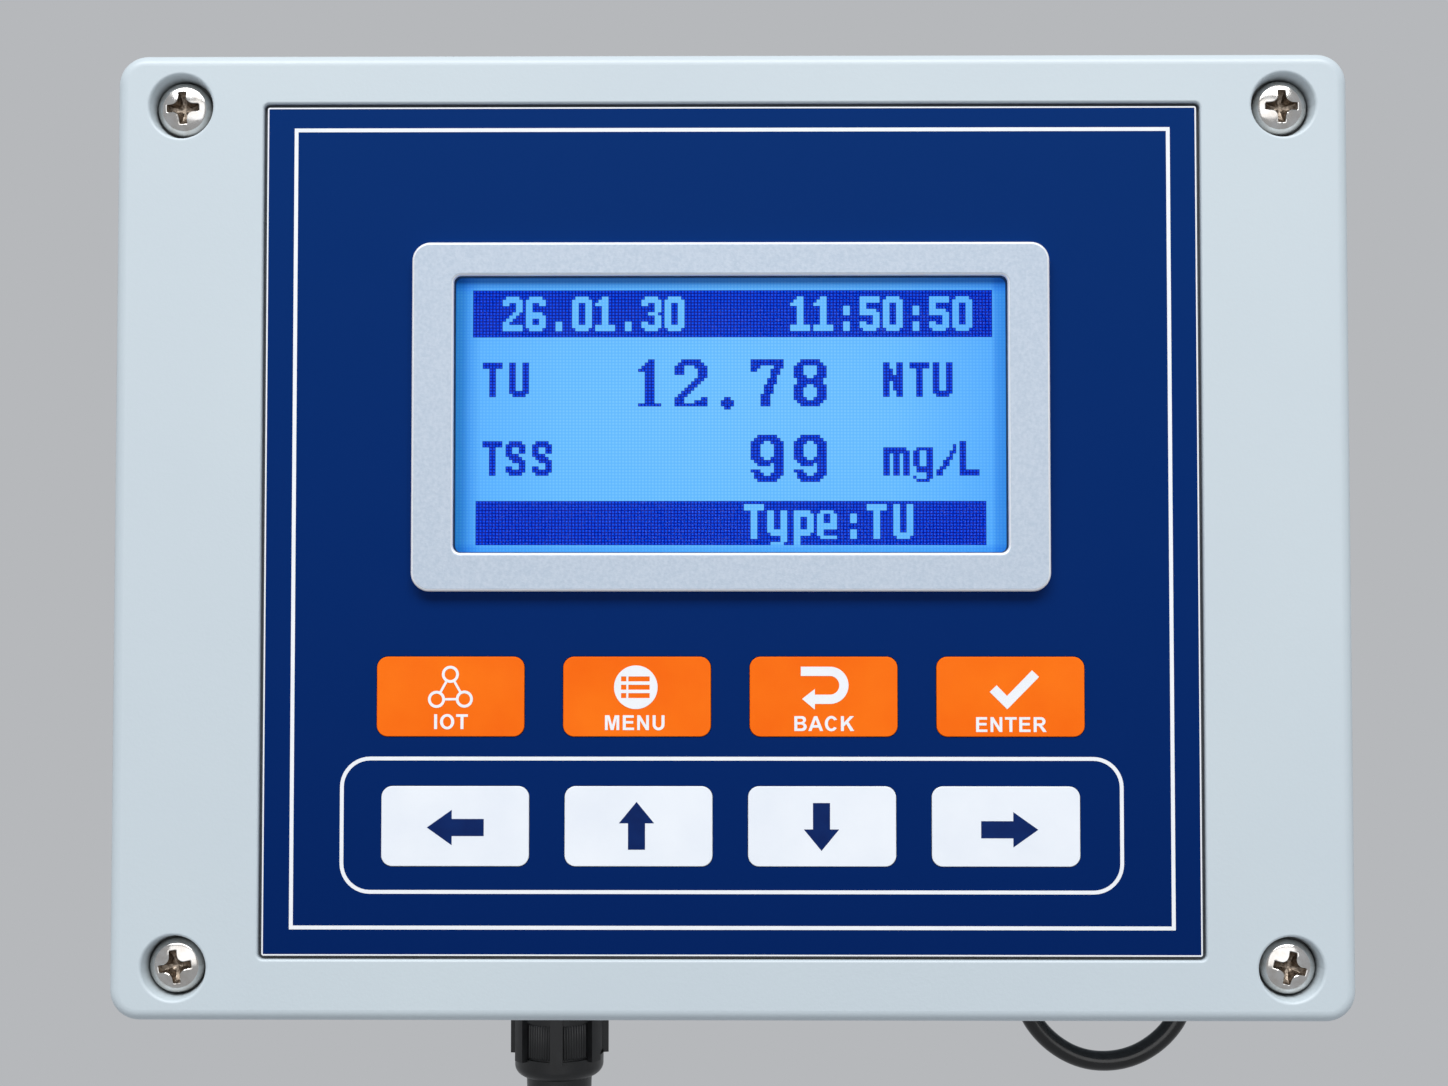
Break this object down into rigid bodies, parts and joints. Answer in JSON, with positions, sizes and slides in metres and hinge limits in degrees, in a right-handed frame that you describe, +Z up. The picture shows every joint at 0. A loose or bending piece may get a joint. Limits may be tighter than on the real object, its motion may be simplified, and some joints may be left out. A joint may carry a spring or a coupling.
{
  "type": "turbidity meter",
  "caption": "Sealed wall and rail mounted transmitter box with a lit display, eight push keys, a cable gland and a spring-latched rail bracket on its back.",
  "frame": {"origin": "where the meter seats on its mounting rail: front plane of the rail's flanges, halfway up the rail and halfway along the bracket", "axes": "+Z up, +X to the right seen from the front, the front faces -Y"},
  "size_m": [0.1816, 0.0765, 0.1746],
  "materials": {
    "housing": "light grey moulded plastic with a fine spark-eroded texture",
    "blue_overlay": "deep blue printed polyester sheet",
    "silver_bezel": "silver-grey plastic with a fine leather grain",
    "clear_lens": "clear acrylic",
    "module_steel": "blackened sheet steel",
    "lcd_blue": "blue-lit display glass",
    "light_guide": "white light guide",
    "orange_key": "orange satin key",
    "white_key": "white satin key",
    "black_rubber": "moulded rubber",
    "black_plastic": "black component plastic",
    "bright_screw": "stainless, bright",
    "zinc_screw": "zinc plated",
    "brass_insert": "turned brass",
    "circuit_board": "green solder resist",
    "green_plastic": "green terminal plastic",
    "relay_blue": "blue relay case",
    "capacitor_can": "aluminium can",
    "fuse_glass": "glass tube",
    "ribbon_grey": "grey ribbon jacket",
    "gland_nylon": "black nylon",
    "cable_jacket": "smooth black jacket",
    "bracket_grey": "grey moulded nylon",
    "latch_black": "black moulded acetal",
    "spring_steel": "spring wire"
  },
  "bodies": {
    "root": {"base_housing": "housing", "front_cover": "housing", "cover_gasket": "black_rubber", "cover_screws": "bright_screw", "cover_inserts": "brass_insert", "front_overlay": "blue_overlay", "display_bezel": "silver_bezel", "display_window": "clear_lens", "lcd_frame": "module_steel", "lcd_glass": "lcd_blue", "lcd_backlight": "light_guide", "lcd_board": "circuit_board", "keypad_board": "circuit_board", "key_switches": "black_plastic", "cover_board_screws": "zinc_screw", "main_board": "circuit_board", "main_board_screws": "zinc_screw", "terminal_blocks": "green_plastic", "terminal_screws": "zinc_screw", "power_module": "black_plastic", "relays": "relay_blue", "capacitors": "capacitor_can", "processor": "black_plastic", "cell_holder": "black_plastic", "clock_cell": "zinc_screw", "fuse": "fuse_glass", "fuse_clips": "brass_insert", "board_headers": "black_plastic", "ribbon_cable": "ribbon_grey", "gland_body": "gland_nylon", "gland_oring": "black_rubber", "gland_locknut": "gland_nylon", "gland_seal": "black_rubber", "link_cable": "cable_jacket", "link_bushes": "black_rubber", "rail_bracket": "bracket_grey", "bracket_screws": "zinc_screw", "bracket_inserts": "brass_insert", "latch_spring": "spring_steel"},
    "key_iot": {"key_iot": "orange_key"},
    "key_menu": {"key_menu": "orange_key"},
    "key_back": {"key_back": "orange_key"},
    "key_enter": {"key_enter": "orange_key"},
    "key_left": {"key_left": "white_key"},
    "key_up": {"key_up": "white_key"},
    "key_down": {"key_down": "white_key"},
    "key_right": {"key_right": "white_key"},
    "gland_nut": {"gland_nut": "gland_nylon", "gland_sleeve": "gland_nylon"},
    "rail_latch": {"rail_latch": "latch_black"}
  },
  "joints": [
    {"name": "key_iot_press", "type": "slide", "parent": "root", "child": "key_iot", "axis": [0, 1, 0], "range_m": [0, 0.0005], "stiffness_N_per_m": 600, "springref_m": -0.001},
    {"name": "key_menu_press", "type": "slide", "parent": "root", "child": "key_menu", "axis": [0, 1, 0], "range_m": [0, 0.0005], "stiffness_N_per_m": 600, "springref_m": -0.001},
    {"name": "key_back_press", "type": "slide", "parent": "root", "child": "key_back", "axis": [0, 1, 0], "range_m": [0, 0.0005], "stiffness_N_per_m": 600, "springref_m": -0.001},
    {"name": "key_enter_press", "type": "slide", "parent": "root", "child": "key_enter", "axis": [0, 1, 0], "range_m": [0, 0.0005], "stiffness_N_per_m": 600, "springref_m": -0.001},
    {"name": "key_left_press", "type": "slide", "parent": "root", "child": "key_left", "axis": [0, 1, 0], "range_m": [0, 0.0005], "stiffness_N_per_m": 600, "springref_m": -0.001},
    {"name": "key_up_press", "type": "slide", "parent": "root", "child": "key_up", "axis": [0, 1, 0], "range_m": [0, 0.0005], "stiffness_N_per_m": 600, "springref_m": -0.001},
    {"name": "key_down_press", "type": "slide", "parent": "root", "child": "key_down", "axis": [0, 1, 0], "range_m": [0, 0.0005], "stiffness_N_per_m": 600, "springref_m": -0.001},
    {"name": "key_right_press", "type": "slide", "parent": "root", "child": "key_right", "axis": [0, 1, 0], "range_m": [0, 0.0005], "stiffness_N_per_m": 600, "springref_m": -0.001},
    {"name": "gland_nut_turn", "type": "hinge", "parent": "root", "child": "gland_nut", "pos_m": [-0.0289, -0.032, -0.117], "axis": [0, 0, 1], "range_deg": [0, 360]},
    {"name": "rail_latch_pull", "type": "slide", "parent": "root", "child": "rail_latch", "axis": [0, 0, -1], "range_m": [0, 0.0035], "stiffness_N_per_m": 1500, "springref_m": -0.002, "deforming": ["latch_spring"]}
  ]
}
